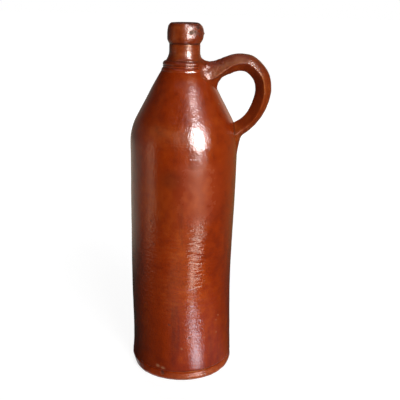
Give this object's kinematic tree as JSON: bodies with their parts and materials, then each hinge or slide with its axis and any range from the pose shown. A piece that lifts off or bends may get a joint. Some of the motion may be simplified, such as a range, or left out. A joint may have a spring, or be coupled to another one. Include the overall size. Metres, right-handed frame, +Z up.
{
  "type": "earthenware bottle",
  "caption": "Tall round earthenware bottle with a shoulder cone, a short neck with a thick lip and a loop handle, for storing and pouring liquid.",
  "frame": {"origin": "centre of the flat underside, on the axis that the bottle is turned about", "axes": "+Z up the bottle's axis to the lip, +X towards the handle"},
  "size_m": [0.1163, 0.09, 0.3],
  "materials": {
    "base_glaze": "brown glaze, thin over the foot edge",
    "body_glaze": "glossy red-brown iron glaze with darker runs and fine pits",
    "neck_glaze": "glossy red-brown iron glaze, worn at the rim",
    "handle_glaze": "glossy red-brown iron glaze with orange-peel texture"
  },
  "bodies": {
    "root": {"base_disc": "base_glaze", "body_wall": "body_glaze", "shoulder_collar": "body_glaze", "neck_tube": "neck_glaze", "lip_ring": "neck_glaze", "handle": "handle_glaze", "upper_luting_pad": "handle_glaze", "lower_luting_pad": "handle_glaze"}
  },
  "joints": []
}
